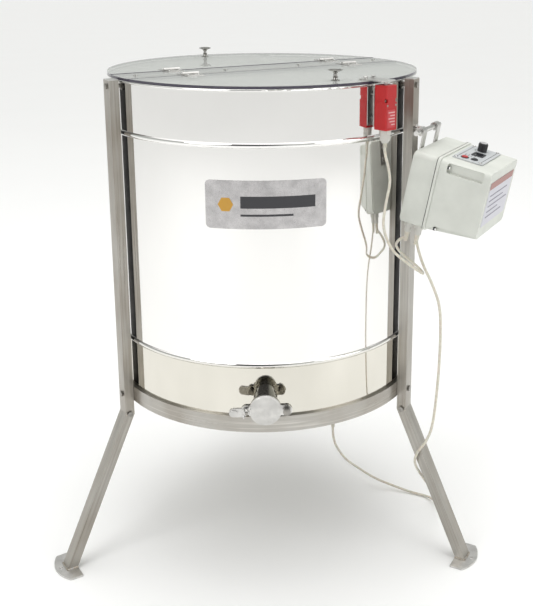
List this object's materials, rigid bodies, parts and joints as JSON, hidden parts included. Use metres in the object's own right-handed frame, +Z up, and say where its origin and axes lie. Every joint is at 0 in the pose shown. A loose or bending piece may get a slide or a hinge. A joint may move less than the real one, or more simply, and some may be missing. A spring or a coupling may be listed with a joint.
{
  "type": "honey extractor",
  "caption": "Motor-driven radial honey extractor: polished steel drum on a splayed three-legged stand, clear two-leaf lid, honey gate, lid interlock and hanging control box.",
  "frame": {"origin": "on the floor under the drum's axis, at the centre of the foot bolt circle", "axes": "+Z up along the drum's axis; -Y towards the honey gate, so the control box is on the +X side"},
  "size_m": [0.9698, 0.902, 1.0573],
  "materials": {
    "polished_steel": "mirror-polished stainless sheet",
    "worn_steel": "brushed stainless bar and tube, lightly weathered",
    "bright_steel": "bright turned or pressed steel",
    "clear_acrylic": "clear sheet with a faint green-grey tint",
    "red_plastic": "moulded, satin",
    "pale_plastic": "moulded, lightly textured",
    "grey_plastic": "printed panel",
    "dark_plastic": "moulded, ribbed",
    "dark_window": "smoked window",
    "black_rubber": "matt",
    "cream_sheath": "soft flexible sheath",
    "cast_alloy": "machined",
    "motor_paint": "satin paint"
  },
  "bodies": {
    "stand": {"drum_shell": "polished_steel", "drum_floor": "polished_steel", "base_ring": "worn_steel", "post_left": "worn_steel", "post_right": "worn_steel", "post_rear": "worn_steel", "leg_left": "worn_steel", "leg_right": "worn_steel", "leg_rear": "worn_steel", "foot_plates": "worn_steel", "post_caps": "worn_steel", "stand_bolts": "bright_steel", "drive_bridge": "worn_steel", "lower_bearing": "cast_alloy", "motor_body": "motor_paint", "terminal_box": "dark_plastic", "drive_belt": "black_rubber", "cross_beam": "worn_steel", "upper_bearing": "cast_alloy", "centre_strip": "clear_acrylic", "strip_screws": "bright_steel", "fixed_hinge_leaves": "bright_steel", "hinge_pins": "bright_steel", "gate_pipe": "bright_steel", "gate_flange": "bright_steel", "gate_seal": "black_rubber", "gate_bolts": "bright_steel", "switch_bracket": "bright_steel", "switch_body": "red_plastic", "switch_head": "red_plastic", "switch_gland": "pale_plastic", "name_plate": "bright_steel", "hanger_rod": "bright_steel", "interlock_lead": "cream_sheath", "motor_lead": "cream_sheath"},
    "lid_front": {"front_lid_panel": "clear_acrylic", "front_lid_knob": "bright_steel", "front_hinge_leaves": "bright_steel", "interlock_key": "bright_steel"},
    "lid_rear": {"rear_lid_panel": "clear_acrylic", "rear_lid_knob": "bright_steel", "rear_hinge_leaves": "bright_steel"},
    "cage": {"cage_shaft": "bright_steel", "lower_spider": "bright_steel", "upper_spider": "bright_steel", "cage_rods": "bright_steel", "drive_pulley": "cast_alloy"},
    "motor_rotor": {"motor_pulley": "cast_alloy"},
    "gate": {"gate_blade": "bright_steel"},
    "gate_nut": {"thumb_nut": "bright_steel"},
    "control_box": {"box_base": "pale_plastic", "box_cover": "pale_plastic", "panel_plate": "grey_plastic", "display_window": "dark_window", "box_screws": "bright_steel", "box_hooks": "bright_steel", "box_glands": "pale_plastic"},
    "knob": {"speed_knob": "dark_plastic"},
    "start": {"start_button": "red_plastic"},
    "stop": {"stop_button": "dark_plastic"}
  },
  "joints": [
    {"name": "front_lid_hinge", "type": "hinge", "parent": "stand", "child": "lid_front", "pos_m": [0.0225, -0.03897, 1.0375], "axis": [-0.866, -0.5, 0], "range_deg": [0, 90]},
    {"name": "rear_lid_hinge", "type": "hinge", "parent": "stand", "child": "lid_rear", "pos_m": [-0.0225, 0.03897, 1.0375], "axis": [0.866, 0.5, 0], "range_deg": [0, 90]},
    {"name": "cage_spin", "type": "hinge", "parent": "stand", "child": "cage", "pos_m": [0, 0, 0.7], "axis": [0, 0, 1], "continuous": true},
    {"name": "motor_spin", "type": "hinge", "parent": "stand", "child": "motor_rotor", "pos_m": [0.15, 0, 0.39], "axis": [0, 0, 1], "continuous": true},
    {"name": "gate_swing", "type": "hinge", "parent": "stand", "child": "gate", "pos_m": [0.041, -0.37, 0.4185], "axis": [0, 1, 0], "range_deg": [0, 85]},
    {"name": "gate_nut_turn", "type": "hinge", "parent": "stand", "child": "gate_nut", "pos_m": [-0.036, -0.3764, 0.4185], "axis": [0, 1, 0], "continuous": true},
    {"name": "box_swing", "type": "hinge", "parent": "stand", "child": "control_box", "pos_m": [0.32736, -0.189, 0.931], "axis": [-0.5, -0.866, 0], "range_deg": [0, 35]},
    {"name": "speed_knob_turn", "type": "hinge", "parent": "control_box", "child": "knob", "pos_m": [0.43886, -0.18409, 0.88545], "axis": [0.1727, -0.0997, 0.9799], "range_deg": [-270, 0]},
    {"name": "start_press", "type": "slide", "parent": "control_box", "child": "start", "axis": [-0.1727, 0.0997, -0.9799], "range_m": [0, 0.002], "stiffness_N_per_m": 400},
    {"name": "stop_press", "type": "slide", "parent": "control_box", "child": "stop", "axis": [-0.1727, 0.0997, -0.9799], "range_m": [0, 0.002], "stiffness_N_per_m": 400}
  ],
  "couplings": [
    {"joint": "motor_spin", "follows": "cage_spin", "ratio": 4.75}
  ]
}
